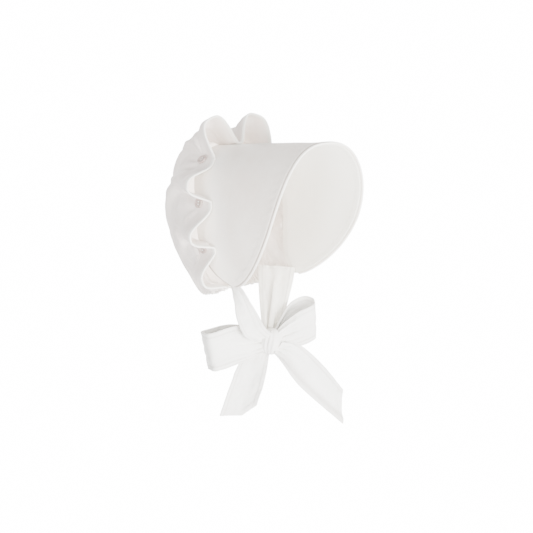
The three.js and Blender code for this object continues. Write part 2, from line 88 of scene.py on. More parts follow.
def white_room():
    """Even light from all round, and a white wall that only the camera sees."""
    world = bpy.data.worlds.new("white_room")
    bpy.context.scene.world = world
    world.use_nodes = True
    tree = world.node_tree
    light, wall = tree.nodes["Background"], tree.nodes.new("ShaderNodeBackground")
    for glow, strength in ((light, ROOM_LIGHT), (wall, WALL_BRIGHTNESS)):
        glow.inputs["Color"].default_value = (1, 1, 1, 1)
        glow.inputs["Strength"].default_value = strength
    seen = tree.nodes.new("ShaderNodeLightPath")
    either = tree.nodes.new("ShaderNodeMixShader")
    tree.links.new(seen.outputs["Is Camera Ray"], either.inputs["Fac"])
    tree.links.new(light.outputs["Background"], either.inputs[1])
    tree.links.new(wall.outputs["Background"], either.inputs[2])
    tree.links.new(either.outputs["Shader"], tree.nodes["World Output"].inputs["Surface"])


studio_lamp("key", (-0.3, -1.75, -0.3), 0.8, 115)
studio_lamp("side", (0.8, -1.5, 0.2), 0.7, 34)
studio_lamp("left", (-1.6, -0.5, -0.3), 0.6, 32)
studio_lamp("back", (0.9, 1.6, 0.7), 0.5, 60)
white_room()

# Materials


def srgb(code):
    """A hex colour as linear red, green, blue and alpha."""
    parts = [int(code[k : k + 2], 16) / 255 for k in (1, 3, 5)]
    return (*(c / 12.92 if c <= 0.04045 else ((c + 0.055) / 1.055) ** 2.4 for c in parts), 1)


def new_material(name, **settings):
    """A material and its shader, which is given those settings."""
    material = bpy.data.materials.new(name)
    material.use_nodes = True
    shader = material.node_tree.nodes["Principled BSDF"]
    for key, value in settings.items():
        shader.inputs[key.replace("_", " ")].default_value = value
    return material, shader


def node(material, kind, links=(), **settings):
    """Adds a node with its settings, and links it: (input, source node, output)."""
    added = material.node_tree.nodes.new(kind)
    for key, value in settings.items():
        if hasattr(added, key):
            setattr(added, key, value)
        else:
            added.inputs[key.replace("_", " ")].default_value = value
    for target, source, output in links:
        material.node_tree.links.new(source.outputs[output], added.inputs[target])
    return added


WAVE_PERIOD = math.pi / 10  # of a wave texture's bands at scale 1
SLUB_LENGTH = 2.38  # of the thick places in cotton yarn, in millimetres
CRUMPLE_LENGTH = 14.3  # from one soft crumple of washed cloth to the next
PATCH_LENGTH = 38.5  # of the faintly uneven colour that washing leaves
WEAVE_DEPTH = 0.2
PAINTED_SHADE_COLOUR = "#7c6a5a"  # the grey-brown of painted shade, laid in seams, gaps, hem steps and creases
PAINTED_BOUNCE_LIGHT = "#fffbf4"  # the cream white of painted light, where the brim is lit by light bounced off the crown's lining


def woven_cotton(name, light, shade, thread, slub, crumple):
    """Plain-weave cotton, washed and matt, with a faint sheen from its nap.

    thread: from thread to thread in millimetres. The cloth's real threads are about 0.3 mm apart,
    too fine to show, so the weave is drawn coarser.
    slub, crumple: heights in millimetres.
    """
    material, shader = new_material(
        name, Roughness=0.88, Specular_IOR_Level=0.25, Sheen_Weight=0.25, Sheen_Roughness=0.6
    )
    threads = node(material, "ShaderNodeUVMap", uv_map="cloth")
    place = node(material, "ShaderNodeTexCoord")
    bands = {"Scale": WAVE_PERIOD / (thread * MM), "Distortion": 1.2, "Detail_Scale": 0.4}
    warp, weft = (
        node(material, "ShaderNodeTexWave", [("Vector", threads, "UV")], bands_direction=way, **bands)
        for way in ("X", "Y")
    )
    crossing = [("A", warp, "Fac"), ("B", weft, "Fac")]
    weave = node(material, "ShaderNodeMix", crossing, data_type="FLOAT", Factor=0.5)
    whole = [("Vector", place, "Object")]
    slubs, crumples, patches = (
        node(
            material, "ShaderNodeTexNoise", whole,
            Scale=1 / (length * MM), Detail=detail, Roughness=roughness,
        )
        for length, detail, roughness in (
            (SLUB_LENGTH, 3, 0.5),
            (CRUMPLE_LENGTH, 2, 0.55),
            (PATCH_LENGTH, 7, 0.72),
        )
    )
    colour = node(material, "ShaderNodeMix", [("Factor", patches, "Fac")], data_type="RGBA")
    colour.inputs["A"].default_value = srgb(shade)
    colour.inputs["B"].default_value = srgb(light)
    # Over the cloth's own colour go painted light, where the brim is lit by light bounced off the
    # crown's lining, and painted shade in seams, gaps, hem steps and creases
    for attribute, code in (("painted_bounce_light", PAINTED_BOUNCE_LIGHT), ("painted_shade", PAINTED_SHADE_COLOUR)):
        amount = node(material, "ShaderNodeAttribute", attribute_name=attribute)
        over = [("Factor", amount, "Fac"), ("A", colour, "Result")]
        colour = node(material, "ShaderNodeMix", over, data_type="RGBA")
        colour.inputs["B"].default_value = srgb(code)
    below = []
    for height, output, strength, depth in (
        (weave, "Result", 0.8, WEAVE_DEPTH),
        (slubs, "Fac", 0.6, slub),
        (crumples, "Fac", 1, crumple),
    ):
        links = [("Height", height, output), *below]
        bump = node(material, "ShaderNodeBump", links, Strength=strength, Distance=depth * MM)
        below = [("Normal", bump, "Normal")]
    link = material.node_tree.links.new
    link(colour.outputs["Result"], shader.inputs["Base Color"])
    link(bump.outputs["Normal"], shader.inputs["Normal"])
    return material


# Sizes of the part

FACE_WIDTH, REAR_WIDTH = 134, 130
SEAT_TO_WIDEST, LOWER_REACH = 73, 100
HORN_ANGLE = math.radians(134)
BRIM_RISE, TOP_SQUARENESS = 10, 0.8
SEAT_TO_FRONT, SEAT_TO_HORN = 115, 30
BRIM_MARGIN, BRIM_WALL, PIPING_RADIUS = 9, 2.4, 1.1
LAP_BACK, LAP_SWEEP, BUTTON_INSET, LAP_DEPTH = 10, 28, 18, 27
WAVE_STAND, WAVE_SETBACK = 33, 9
CROWN_WALL, BINDING_RADIUS = 1.2, 1.1
BAG_DEPTH, BAG_WIDTH, NECK_DROP, NECK_WIDTH = 102, 130, 164, 99
GATHER_DEPTH, GATHERS_PER_BAY = 1.3, 2.5
BUTTON_DIAMETER, BUTTON_THICKNESS, BUTTON_HOLE, BUTTON_HOLE_SPACING = 10.5, 2.2, 1.6, 3
SASH_WIDTH, SASH_WALL, TIE_LAP, TIE_PLEAT, FOLDED_TIE_WIDTH = 42, 1.1, 6, 0.8, 23
KNOT_DROP, KNOT_FORWARD = 210, 37
KNOT_WIDTH, KNOT_HEIGHT, KNOT_DEPTH = 21, 29, 23
BOW_TURN = math.radians(22.5)
RIGHT_LOOP, LEFT_LOOP, RIGHT_TAIL, LEFT_TAIL = 74, 52, 84, 96
CLEARANCE = 0.3

# Lines and surfaces


def lerp(a, b, t):
    return a + (b - a) * t


def smooth(x):
    x = np.clip(x, 0, 1)
    return x * x * (3 - 2 * x)


def unit(v):
    return v / np.maximum(np.linalg.norm(v, axis=-1, keepdims=True), 1e-9)


def spline(values, share):
    """The smooth line through equally spaced values, read at shares from 0 to 1."""
    values = np.asarray(values, float)
    share = np.atleast_1d(np.asarray(share, float))
    last = len(values) - 1
    place = np.clip(share, 0, 1) * last
    k = np.minimum(place.astype(int), last - 1)
    spread = share.shape + (1,) * (values.ndim - 1)
    t = (place - k).reshape(spread)
    b, c = values[k], values[k + 1]
    a = np.where((k == 0).reshape(spread), 2 * b - c, values[np.maximum(k - 1, 0)])
    d = np.where((k + 2 > last).reshape(spread), 2 * c - b, values[np.minimum(k + 2, last)])
    curve = t * (2 * a - 5 * b + 4 * c - d) + t * t * (3 * b - a - 3 * c + d)
    return b + (t * (c - a) + t * curve) / 2


def lengths_along(path):
    """How far each point of a line lies from its start."""
    return np.concatenate([[0], np.cumsum(np.linalg.norm(np.diff(path, axis=0), axis=1))])


def read_line(values, lengths, at):
    """The points, or the normals, of a line at places along it."""
    return np.stack([np.interp(at, lengths, values[:, k]) for k in range(3)], 1)


WAVES, WAVES_ABREAST = 7, 4  # how many waves are added, and how many at most rise together


def undulation(u, v, length, seed):
    """Soft uneven waves of about that length, from -1 to 1, over places in millimetres."""
    chance = np.random.default_rng(seed)
    total = 0
    for _ in range(WAVES):
        way = chance.uniform(0, 2 * math.pi)
        pitch = length * chance.uniform(0.75, 1.5)
        start = chance.uniform(0, 2 * math.pi)
        total = total + np.sin((u * math.cos(way) + v * math.sin(way)) * 2 * math.pi / pitch + start)
    return total / WAVES_ABREAST


def hood_point(y, angle):
    """A point of the brim's middle surface, at a depth and an angle from the top."""
    y, angle = np.broadcast_arrays(np.asarray(y, float), np.asarray(angle, float))
    turn = np.abs(angle)
    upper = turn < math.pi / 2
    top = BRIM_WALL / 2 - BRIM_RISE * y / SEAT_TO_FRONT
    bend = np.where(upper, TOP_SQUARENESS, 1)
    height = np.where(upper, top + SEAT_TO_WIDEST, LOWER_REACH)
    half_width = lerp(REAR_WIDTH, FACE_WIDTH, -y / SEAT_TO_FRONT) / 2
    x = np.sign(angle) * half_width * np.abs(np.sin(turn)) ** bend
    return np.stack([x, y, height * np.cos(turn) - SEAT_TO_WIDEST], -1)


def hood_normal(y, angle):
    step = 0.01
    around = hood_point(y, angle + step) - hood_point(y, angle - step)
    along = hood_point(y + 1.0, angle) - hood_point(y - 1.0, angle)
    return unit(np.cross(around, along))


LAP_OVERRUN = math.radians(2.5)  # how far the lap goes on past the brim's horn
LAP_FOOT_ANGLE = HORN_ANGLE + LAP_OVERRUN
girth_angles = np.linspace(0, LAP_FOOT_ANGLE, 241)
girth = lengths_along(hood_point(0, girth_angles))
GIRTH = girth[-1]


def hood_angle(share):
    return np.sign(share) * np.interp(np.abs(share) * GIRTH, girth, girth_angles)


def girth_share(angle):
    return np.interp(angle, girth_angles, girth) / GIRTH


# Lap of the crown: a row for each button from the top down and one for the jaw

BAYS = 8
LAP_FORWARD = [0, 0.25, 0.9, 1.04, 1]
LAP_STAND = np.array([1, 0.8, 0.75, 0.64, 0])
LAP_DROOP = np.array([1, 1.6, 1.35, 1, 1])
LAP_SAG = np.array([0, 0.16, 0.05, 0, 0])
BED_MARGIN = 0.6  # of flat lap round a button
BUTTON_BED = (BUTTON_DIAMETER / 2 + BED_MARGIN) / (GIRTH / (BAYS / 2))
SLACK_RISE = 1.5  # how slowly a lower wave lifts off above its middle


def lap_edge(share):
    return LAP_BACK - LAP_SWEEP * spline(LAP_FORWARD, np.abs(share))


def bay_at(share):
    return np.minimum((np.abs(share) * BAYS / 2).astype(int), BAYS // 2 - 1)


def wave_at(share, bed=1):
    place = np.abs(share) * BAYS / 2
    bay = bay_at(share)
    flat = BUTTON_BED * bed
    t = np.clip((place - bay - flat) / (1 - 2 * flat), 0, 1)
    drooped = t ** LAP_DROOP[bay]
    rise = np.clip(np.sin(math.pi * drooped), 0, 1)
    slack = (drooped < 0.5) & (bay > 0)
    return LAP_STAND[bay] * np.where(slack, rise**SLACK_RISE, smooth(rise))


def lap_off(inset):
    return BRIM_WALL / 2 + CLEARANCE + (CROWN_WALL / 2 if inset > 0 else BINDING_RADIUS)


def lap_point(share, inset, stand, bed=1):
    share = np.atleast_1d(np.asarray(share, float))
    wave = wave_at(share, bed)
    angle = hood_angle(share)
    y = lap_edge(share) + inset + WAVE_SETBACK * wave * stand
    off = lap_off(inset) + WAVE_STAND * wave * stand
    point = hood_point(y, angle) + hood_normal(y, angle) * off[:, None]
    point[:, 2] -= LAP_SAG[bay_at(share)] * WAVE_STAND * wave * stand
    return point


# Edges of the brim

HOOD_DROP = SEAT_TO_WIDEST - LOWER_REACH * math.cos(HORN_ANGLE)
HORN_BLUNTNESS = 0.995
HORN_SHARE = float(girth_share(HORN_ANGLE * HORN_BLUNTNESS))
FRONT_HOLD, FRONT_ROUND = 2.1, 0.7  # how far down the brim stays deep, how round it turns in
BACK_HOLD, BACK_ROUND = 8, 0.75


def sweep_at(share, hold, roundness):
    """How deep the brim still is, from 1 at the top to 0 at the horn."""
    dropped = np.clip(-hood_point(0, hood_angle(share))[..., 2] / HOOD_DROP, 0, 1)
    return (1 - dropped**hold) ** roundness


def brim_front(share):
    reach = SEAT_TO_FRONT - SEAT_TO_HORN
    return -SEAT_TO_HORN - reach * sweep_at(share, FRONT_HOLD, FRONT_ROUND)


def brim_back(share):
    reach = SEAT_TO_HORN + lap_edge(share) + BUTTON_INSET + BRIM_MARGIN
    return -SEAT_TO_HORN + reach * sweep_at(share, BACK_HOLD, BACK_ROUND)


# Bag of the crown: back, drop, width, bulge, foot and stand of each row

LAP_ROWS = [(0, 1, 0.35), (0.38, 0.94, 1), (BUTTON_INSET / LAP_DEPTH, 0.76, 1), (1, 0.58, 1)]
BAG_ROWS = [
    (0.55, 0.0, 1.03, 0.03, 0.35, 0.36),
    (0.78, 0.12, 1.01, 0.04, 0.45, 0.24),
    (0.93, 0.34, 0.94, 0.03, 0.55, 0.16),
    (0.91, 0.58, 0.87, 0.01, 0.65, 0.13),
    (0.71, 0.82, 0.79, 0, 0.78, 0.12),
    (0.5, 0.97, 0.77, 0, 0.9, 0.1),
    (0.38, 1.0, NECK_WIDTH / BAG_WIDTH, 0, 1, 0),
]
LAST_ROW = len(LAP_ROWS) + len(BAG_ROWS) - 1
JAW_LENGTH, JAW_BACK, JAW_DOWN = 13, 0.92, 0.38  # and its way, as shares of the length
lap_foot = lap_point(1, 0, 0)[0]
jaw_y, jaw_z = lap_foot[1] + JAW_LENGTH * JAW_BACK, lap_foot[2] - JAW_LENGTH * JAW_DOWN
neck_foot = np.array([NECK_WIDTH / 2 - 0.5, jaw_y, jaw_z])
BAG_CENTRE = np.array([0, 0, -SEAT_TO_WIDEST])
GATHER_START, GATHER_ROWS = 8, 2  # the row where the neck's gathers begin, and their growth


def bag_point(row, share):
    back, drop, width, bulge, foot_share, stand = row
    foot = lerp(lap_foot, neck_foot, foot_share)
    half = max(width * BAG_WIDTH / 2, foot[0])
    foot_angle = math.pi - math.asin(foot[0] / half)
    angle = foot_angle * np.abs(share)
    up = (np.cos(angle) - math.cos(foot_angle)) / (1 - math.cos(foot_angle))
    bend = np.where(angle < math.pi / 2, lerp(TOP_SQUARENESS, 1, drop), 1)
    x = np.sign(share) * half * np.sin(angle) ** bend
    y = lerp(foot[1], back * BAG_DEPTH, up) + bulge * BAG_DEPTH * np.sin(math.pi * up)
    z = lerp(foot[2], -drop * NECK_DROP, up)
    point = np.stack([x, y, z], -1)
    return point + unit(point - BAG_CENTRE) * (WAVE_STAND * wave_at(share) * stand)[:, None]


def crown_surface(rows, shares):
    """Points of the crown's cloth at rows from 0, the lap's edge, to LAST_ROW, the neck."""
    rows = np.atleast_1d(np.asarray(rows, float))
    lines = [lap_point(shares, inset * LAP_DEPTH, stand, bed) for inset, stand, bed in LAP_ROWS]
    lines += [bag_point(row, shares) for row in BAG_ROWS]
    points = spline(np.array(lines), rows / LAST_ROW)
    near_neck = smooth((rows - GATHER_START) / GATHER_ROWS)[:, None]
    fold = np.cos(math.pi * BAYS * GATHERS_PER_BAY * shares)[None, :]
    outward = points * [1, 1, 0]
    return points + unit(outward) * (GATHER_DEPTH * near_neck * fold)[..., None]


def grid_normals(grid):
    return unit(np.cross(np.gradient(grid, axis=1), np.gradient(grid, axis=0)))


def quads(number):
    """The four-sided faces of a grid of numbered points."""
    upper, lower = number[:-1], number[1:]
    corners = (upper[:, :-1], upper[:, 1:], lower[:, 1:], lower[:, :-1])
    return np.stack([corner.ravel() for corner in corners], 1)


def turned_over(faces):
    return faces[:, [0, 3, 2, 1]]


# Mesh makers


def piece(name, points, faces, places, material, replaces=()):
    """A closed mesh from points in millimetres, with its UV map in metres, riding on the bonnet."""
    mesh = bpy.data.meshes.new(name)
    mesh.from_pydata((np.asarray(points) * MM).tolist(), [], faces)
    corners = np.empty(len(mesh.loops), int)
    mesh.loops.foreach_get("vertex_index", corners)
    layer = mesh.uv_layers.new(name="cloth")
    layer.data.foreach_set("uv", (np.asarray(places)[corners] * MM).ravel())
    added = bpy.data.objects.new(name, mesh)
    bpy.context.scene.collection.objects.link(added)
    bpy.context.view_layer.objects.active = added
    added.select_set(True)
    bpy.ops.object.mode_set(mode="EDIT")
    bpy.ops.mesh.select_all(action="SELECT")
    bpy.ops.mesh.remove_doubles(threshold=0.000002)
    bpy.ops.mesh.normals_make_consistent(inside=False)
    bpy.ops.object.mode_set(mode="OBJECT")
    bpy.ops.object.shade_smooth()
    added.select_set(False)
    mesh.materials.append(material)
    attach(added, "root")
    if replaces:
        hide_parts(*replaces)
    return added


def mark_points(added, name, amounts, faces=1):
    """Keeps an amount from 0 to 1 on each point of a cloth's outer face, or of both its faces."""
    every = np.zeros(len(added.data.vertices))
    every[: faces * amounts.size] = np.tile(amounts.ravel(), faces)
    layer = added.data.attributes.new(name, "FLOAT", "POINT")
    layer.data.foreach_set("value", every)


def arc_places(grid):
    """How far each point of a grid lies along its rows and columns."""
    along = np.linalg.norm(np.diff(grid, axis=1), axis=2).mean(0)
    across = np.linalg.norm(np.diff(grid, axis=0), axis=2).mean(1)
    u = np.concatenate([[0], np.cumsum(along)])
    v = np.concatenate([[0], np.cumsum(across)])
    return np.stack(np.meshgrid(u, v), -1)


def cloth(name, grid, wall, material, replaces=(), places=None, lining=None):
    """A closed sheet about a grid of middle points, with rounded edges."""
    rows, columns = grid.shape[:2]
    places = arc_places(grid) if places is None else places
    normal = grid_normals(grid)
    half = (np.broadcast_to(wall, (rows, columns)) / 2)[..., None]
    size = rows * columns
    number = np.arange(size).reshape(rows, columns)
    border = np.concatenate(
        [number[0, :-1], number[:-1, -1], number[-1, :0:-1], number[:0:-1, 0]]
    )
    middle, upward = grid.reshape(-1, 3)[border], normal.reshape(-1, 3)[border]
    outward = unit(np.cross(np.roll(middle, -1, 0) - np.roll(middle, 1, 0), upward))
    rim_half = half.reshape(-1, 1)[border]
    turns = [math.pi / 4, math.pi / 2, 3 * math.pi / 4]
    rims = [
        middle + outward * rim_half * math.sin(turn) + upward * rim_half * math.cos(turn)
        for turn in turns
    ]
    points = np.concatenate(
        [(grid + normal * half).reshape(-1, 3), (grid - normal * half).reshape(-1, 3), *rims]
    )
    flat = places.reshape(-1, 2)
    all_places = np.concatenate([flat, flat, *[flat[border]] * len(turns)])
    faces = [quads(number), turned_over(quads(number)) + size]
    count = len(border)
    rim_loops = [2 * size + k * count + np.arange(count) for k in range(len(turns))]
    loops = [border, *rim_loops, border + size]
    for upper, lower in zip(loops, loops[1:]):
        faces.append(np.stack([np.roll(upper, -1), upper, lower, np.roll(lower, -1)], 1))
    added = piece(name, points, np.concatenate(faces).tolist(), all_places, material, replaces)
    if lining:
        added.data.materials.append(lining)
        inner = np.zeros(len(added.data.polygons), int)
        inner[len(faces[0]) : len(faces[0]) + len(faces[1])] = 1
        added.data.polygons.foreach_set("material_index", inner)
    return added


def cloth_tube(name, path, radius, sides, material, replaces=()):
    """A round cord covered in cloth along a line of points."""
    tangent = unit(np.gradient(path, axis=0))
    side = unit(np.cross(tangent, [0.3, 0.2, 1]))
    for k in range(1, len(path)):
        side[k] = side[k - 1] - tangent[k] * side[k - 1].dot(tangent[k])
        side[k] /= np.linalg.norm(side[k])
    up = np.cross(tangent, side)
    turn = np.linspace(0, 2 * math.pi, sides + 1)
    rings = (
        path[:, None]
        + side[:, None] * (radius * np.cos(turn))[None, :, None]
        + up[:, None] * (radius * np.sin(turn))[None, :, None]
    )
    ends = [np.repeat(rings[k].mean(0)[None], sides + 1, 0)[None] for k in (0, -1)]
    grid = np.concatenate([ends[0], rings, ends[1]])
    number = np.arange(grid.shape[0] * (sides + 1)).reshape(-1, sides + 1)
    faces = turned_over(quads(number)).tolist()
    along = lengths_along(path)
    along = np.concatenate([[along[0]], along, [along[-1]]])
    places = np.stack(np.meshgrid(turn * radius, along), -1).reshape(-1, 2)
    return piece(name, grid.reshape(-1, 3), faces, places, material, replaces)


def stitch_row(path, normal, pitch, length, radius):
    """Points and faces of a row of small thread stitches lying on a surface."""
    lengths = lengths_along(path)
    centres = np.arange(pitch, lengths[-1] - pitch, pitch)
    at = read_line(path, lengths, centres)
    up = unit(read_line(normal, lengths, centres))
    way = unit(read_line(path, lengths, centres + 0.5) - read_line(path, lengths, centres - 0.5))
    side = np.cross(way, up)
    rings = [(-0.5, 0.35), (-0.28, 1), (0.28, 1), (0.5, 0.35)]
    sides = 6
    turns = [2 * math.pi * k / sides for k in range(sides)]
    points = []
    for along, fullness in rings:
        for turn in turns:
            lift = radius * fullness * (math.sin(turn) + 0.35)
            aside = side * math.cos(turn) * radius * fullness
            points.append(at + way * along * length + aside + up * lift)
    faces = []
    for ring in range(len(rings) - 1):
        for k in range(sides):
            first, second = ring * sides + k, ring * sides + (k + 1) % sides
            faces.append((first, second, second + sides, first + sides))
    ends = [(0, 1, 2, 3), (3, 4, 5, 0), (21, 20, 19, 18), (18, 23, 22, 21)]
    stitch = np.array(faces + ends)
    every = stitch[None] + (np.arange(len(at)) * len(points))[:, None, None]
    return np.stack(points, 1).reshape(-1, 3), every.reshape(-1, 4)


def sewing(name, rows, material, pitch=2.6, length=2.0, radius=0.22):
    """All the stitches of several seams as one piece."""
    points, faces, count = [], [], 0
    for path, normal in rows:
        row_points, row_faces = stitch_row(path, normal, pitch, length, radius)
        points.append(row_points)
        faces.append(row_faces + count)
        count += len(row_points)
    points = np.concatenate(points)
    return piece(name, points, np.concatenate(faces).tolist(), points[:, :2], material)


# Finishes

# Cotton lawn, washed and unpressed: soft cream with slow crumples and uneven patches
COTTON = woven_cotton("white_cotton_lawn", "#fff8f2", "#dfd1c9", 0.9, 0.2, 0.8)
# Its inner face: the same lawn, painted lighter and a little pinker to stand in for the light
# bouncing about inside the bonnet, with the same crumples
CROWN_INSIDE = woven_cotton("white_cotton_lawn_inside", "#fff8f2", "#f3e8df", 0.9, 0.2, 0.8)
# The sash's lawn, newer and whiter, with the creases of tying
SASH_COTTON = woven_cotton("white_cotton_lawn_of_the_sash", "#fffdf9", "#e3e1db", 0.9, 0.2, 1.1)
# Cotton pulled smooth over stiffening: the same cream with hardly a crumple
STIFF_COTTON = woven_cotton("white_cotton_over_stiffening", "#fffaf2", "#e3d4c8", 0.9, 0.2, 0.5)
# The lining: an even warm white, painted lighter than the cloth outside to stand in for the light
# bouncing about inside the hood
LINING = woven_cotton("white_cotton_lining", "#fffdf5", "#f8f4ea", 0.9, 0.2, 0.6)
# Bias tape, pressed and tightly woven: the whitest and smoothest cloth here
TAPE = woven_cotton("white_cotton_bias_tape", "#fffdf6", "#faf6ec", 0.7, 0.08, 0.15)
# Twisted sewing thread, drawn as a very fine weave: plain white beads along the seams
THREAD = woven_cotton("white_sewing_thread", "#f7f5f0", "#f1eee8", 0.4, 0.05, 0.05)

# Brim


def brim_edge_distance(shares, y):
    """How far in from the front edge points of the brim lie."""
    edge = brim_front(shares)
    slope = np.gradient(edge, shares * GIRTH)
    return (y - edge) / np.sqrt(1 + slope**2)


def brim_line(inset, off):
    """A line on the brim at a distance in from its front edge, with its outward normals."""
    shares = np.linspace(-HORN_SHARE * 0.985, HORN_SHARE * 0.985, 700)
    around = shares * GIRTH
    y = brim_front(shares)
    d_around, d_y = np.gradient(around), np.gradient(y)
    size = np.hypot(d_around, d_y)
    around, y = around - d_y / size * inset, y + d_around / size * inset
    angle = hood_angle(np.clip(around / GIRTH, -1, 1))
    normal = hood_normal(y, angle)
    return hood_point(y, angle) + normal * off, normal * np.sign(off)


BRIM_ROWS, BRIM_COLUMNS = 91, 361
COLUMN_CROWDING = 0.7  # how much closer the columns stand near the horns
ROW_CROWDING = 1.8  # how much closer the rows stand near the front edge
EDGE_SEAM, HEM_SEAM = 3, 8  # how far in from the front edge the two seams run
HEM_FOLD, HEM_THICKNESS = 9.5, 0.6
PUCKER_PITCH, PUCKER_HEIGHT, PUCKER_REACH = 9, 0.22, 4
BACK_THINNING = 1.7  # the stiffening stops short of the brim's back edge, under the lap
BOUNCE_LIGHT_BEGINS, BOUNCE_LIGHT_BLEND = 32, 40  # ahead of the lap's edge, where the painted bounce light on the brim begins, and how far it blends in


def near(distance, width):
    """1 on a line, and less with the distance from it, next to nothing at twice the width."""
    return np.exp(-((distance / width) ** 2))


def brim():
    """Cotton and lining over stiffening, with a groove beside the piping and a stitched hem; painted
    shade in that groove, a painted shadow at the jaw and painted light towards the lap.
    """
    place = np.linspace(-1, 1, BRIM_COLUMNS)
    shares = HORN_SHARE * lerp(place, np.sin(place * math.pi / 2), COLUMN_CROWDING)
    depth = np.linspace(0, 1, BRIM_ROWS) ** ROW_CROWDING
    front, back = brim_front(shares), brim_back(shares)
    y = lerp(front[None], back[None], depth[:, None])
    from_back = back[None] - y
    angle = np.broadcast_to(hood_angle(shares)[None], y.shape)
    normal = hood_normal(y, angle)
    inset = brim_edge_distance(shares, y)
    around = np.broadcast_to((shares * GIRTH)[None], y.shape)
    soft = 0.55 * undulation(around, y, 55, 4) * smooth(inset / 30)
    ripple = np.sin(around * 2 * math.pi / PUCKER_PITCH + 2 * undulation(around, y, 40, 5))
    pucker = PUCKER_HEIGHT * ripple * near(inset - HEM_SEAM, PUCKER_REACH)
    groove = 0.95 * near(inset - 1, 0.75) + 0.25 * near(inset - HEM_SEAM, 0.8)
    thinned = BACK_THINNING * smooth(1 - from_back / BRIM_MARGIN)
    grid = hood_point(y, angle) + normal * (soft + pucker + thinned / 2)[..., None]
    wall = BRIM_WALL + HEM_THICKNESS * smooth((HEM_FOLD - inset) / 2) - 2 * groove - thinned
    places = np.stack([around, y], -1)
    added = cloth("brim_cloth", grid, wall, STIFF_COTTON, ["brim"], places, LINING)
    # Painted shade in the groove beside the piping, and a painted shadow in the gap at the brim's
    # back edge near the horns
    piping_painted_shade = 0.65 * near(inset - 1.1, 0.8)
    near_horn = smooth((np.abs(shares) / HORN_SHARE - 0.85) / 0.05)[None]
    jaw_painted_shadow = near(from_back, 2.2) * near_horn
    mark_points(added, "painted_shade", np.maximum(piping_painted_shade, jaw_painted_shadow))
    # Painted light: the brim turns lighter towards the lap, standing in for light bounced off the
    # crown's lining
    mark_points(added, "painted_bounce_light", smooth((y - lap_edge(shares)[None] + BOUNCE_LIGHT_BEGINS) / BOUNCE_LIGHT_BLEND))
    return added, grid


brim_cloth, brim_grid = brim()


def brim_piping():
    """A cord in bias tape, sewn along the brim's front edge."""
    path, _ = brim_line(-PIPING_RADIUS * 0.7, 0.01)
    return cloth_tube("piping", path, PIPING_RADIUS * 0.9, 14, TAPE, ["brim_piping"])


piping = brim_piping()
HEM_FACE = BRIM_WALL / 2 + HEM_THICKNESS / 2
BRIM_FACE = BRIM_WALL / 2 - 0.05
brim_seams = sewing(
    "brim_seams",
    [
        brim_line(inset, side * face)
        for inset, face in ((EDGE_SEAM, HEM_FACE), (HEM_SEAM, BRIM_FACE))
        for side in (1, -1)
    ],
    THREAD,
)

# Crown


CROWN_COLUMNS = 401
DRAG_LINES, DRAG_REACH = 9, 34  # how closely creases fan out behind a button, and how far
PRESSED_WAY = 0.7  # the way of a button's long crease, in radians up from straight back
PRESSED_REACH, PRESSED_WIDTH = 75, 1.6
GATHER_PITCH, SLOW_GATHER_PITCH = 6.2, 14  # of the folds drawn in at the neck


def button_drag(u, v, shares, button_row):
    """The creases that pull away behind the buttons, and a long pressed one from each."""
    drag = 0
    behind = v - button_row
    for number in range(1, BAYS):
        aside = u - np.interp(2 * number / BAYS - 1, shares, u[0])
        away = np.hypot(aside, behind)
        turn = np.arctan2(aside, behind + 1e-6)
        ray = np.cos(DRAG_LINES * turn + number + 0.9 * undulation(u, v, 45, 30 + number))
        reach = smooth((away - 5) / 12) * near(away, DRAG_REACH) * smooth(behind / 8)
        drag = drag + reach * ray
        if 2 * number != BAYS:
            upward = turn * (1 if 2 * number < BAYS else -1)
            beside = away * np.sin(upward - PRESSED_WAY)
            pressed = near(beside, PRESSED_WIDTH) - 0.6 * near(beside + 5, 3)
            fades = smooth((away - 7) / 10) * smooth((PRESSED_REACH - away) / 30)
            drag = drag + 0.9 * pressed * fades * (np.cos(turn) > 0)
    return drag


def crown_cloth_grid(rows, shares):
    """The crown's cloth with its soft creases and gathers."""
    points = crown_surface(rows, shares)
    places = arc_places(points)
    u, v = places[..., 0], places[..., 1]
    behind_lap = smooth((rows - 2.4) / 2)[:, None]
    near_neck = smooth((rows - 6.4) / 3)[:, None]
    drag = button_drag(u, v, shares, np.interp(2, rows, v[:, 0]))
    ridge = np.abs(undulation(u, v * 0.55, 40, 14)) ** 0.7
    crumple = 0.9 * undulation(u, v, 34, 11) + 0.4 * undulation(u, v, 15, 12) - 1.3 * ridge
    wander = 2.4 * undulation(u, v * 0.2, 30, 13)
    slow_wander = 3 * undulation(u, v * 0.2, 50, 15)
    gather = np.sin(u * 2 * math.pi / GATHER_PITCH + wander)
    gather = gather + 0.5 * np.sin(u * 2 * math.pi / SLOW_GATHER_PITCH + slow_wander)
    lift = behind_lap * crumple * (1 - 0.5 * near_neck) + near_neck * 0.6 * gather + 1.8 * drag
    return points + grid_normals(points) * lift[..., None]


def crown():
    """One piece of lawn from the lap's edge over the head to the neck, with close rows at the lap."""
    rows = np.concatenate([np.linspace(0, 3, 34), np.linspace(3, LAST_ROW, 76)[1:]])
    grid = crown_cloth_grid(rows, np.linspace(-1, 1, CROWN_COLUMNS))
    return cloth("crown_cloth", grid, CROWN_WALL, COTTON, ["crown"], None, CROWN_INSIDE), grid


crown_cloth, crown_grid = crown()

TAPE_WALL = 0.45
TAPE_STITCH = 2.6  # from stitch to stitch, with a pucker at each


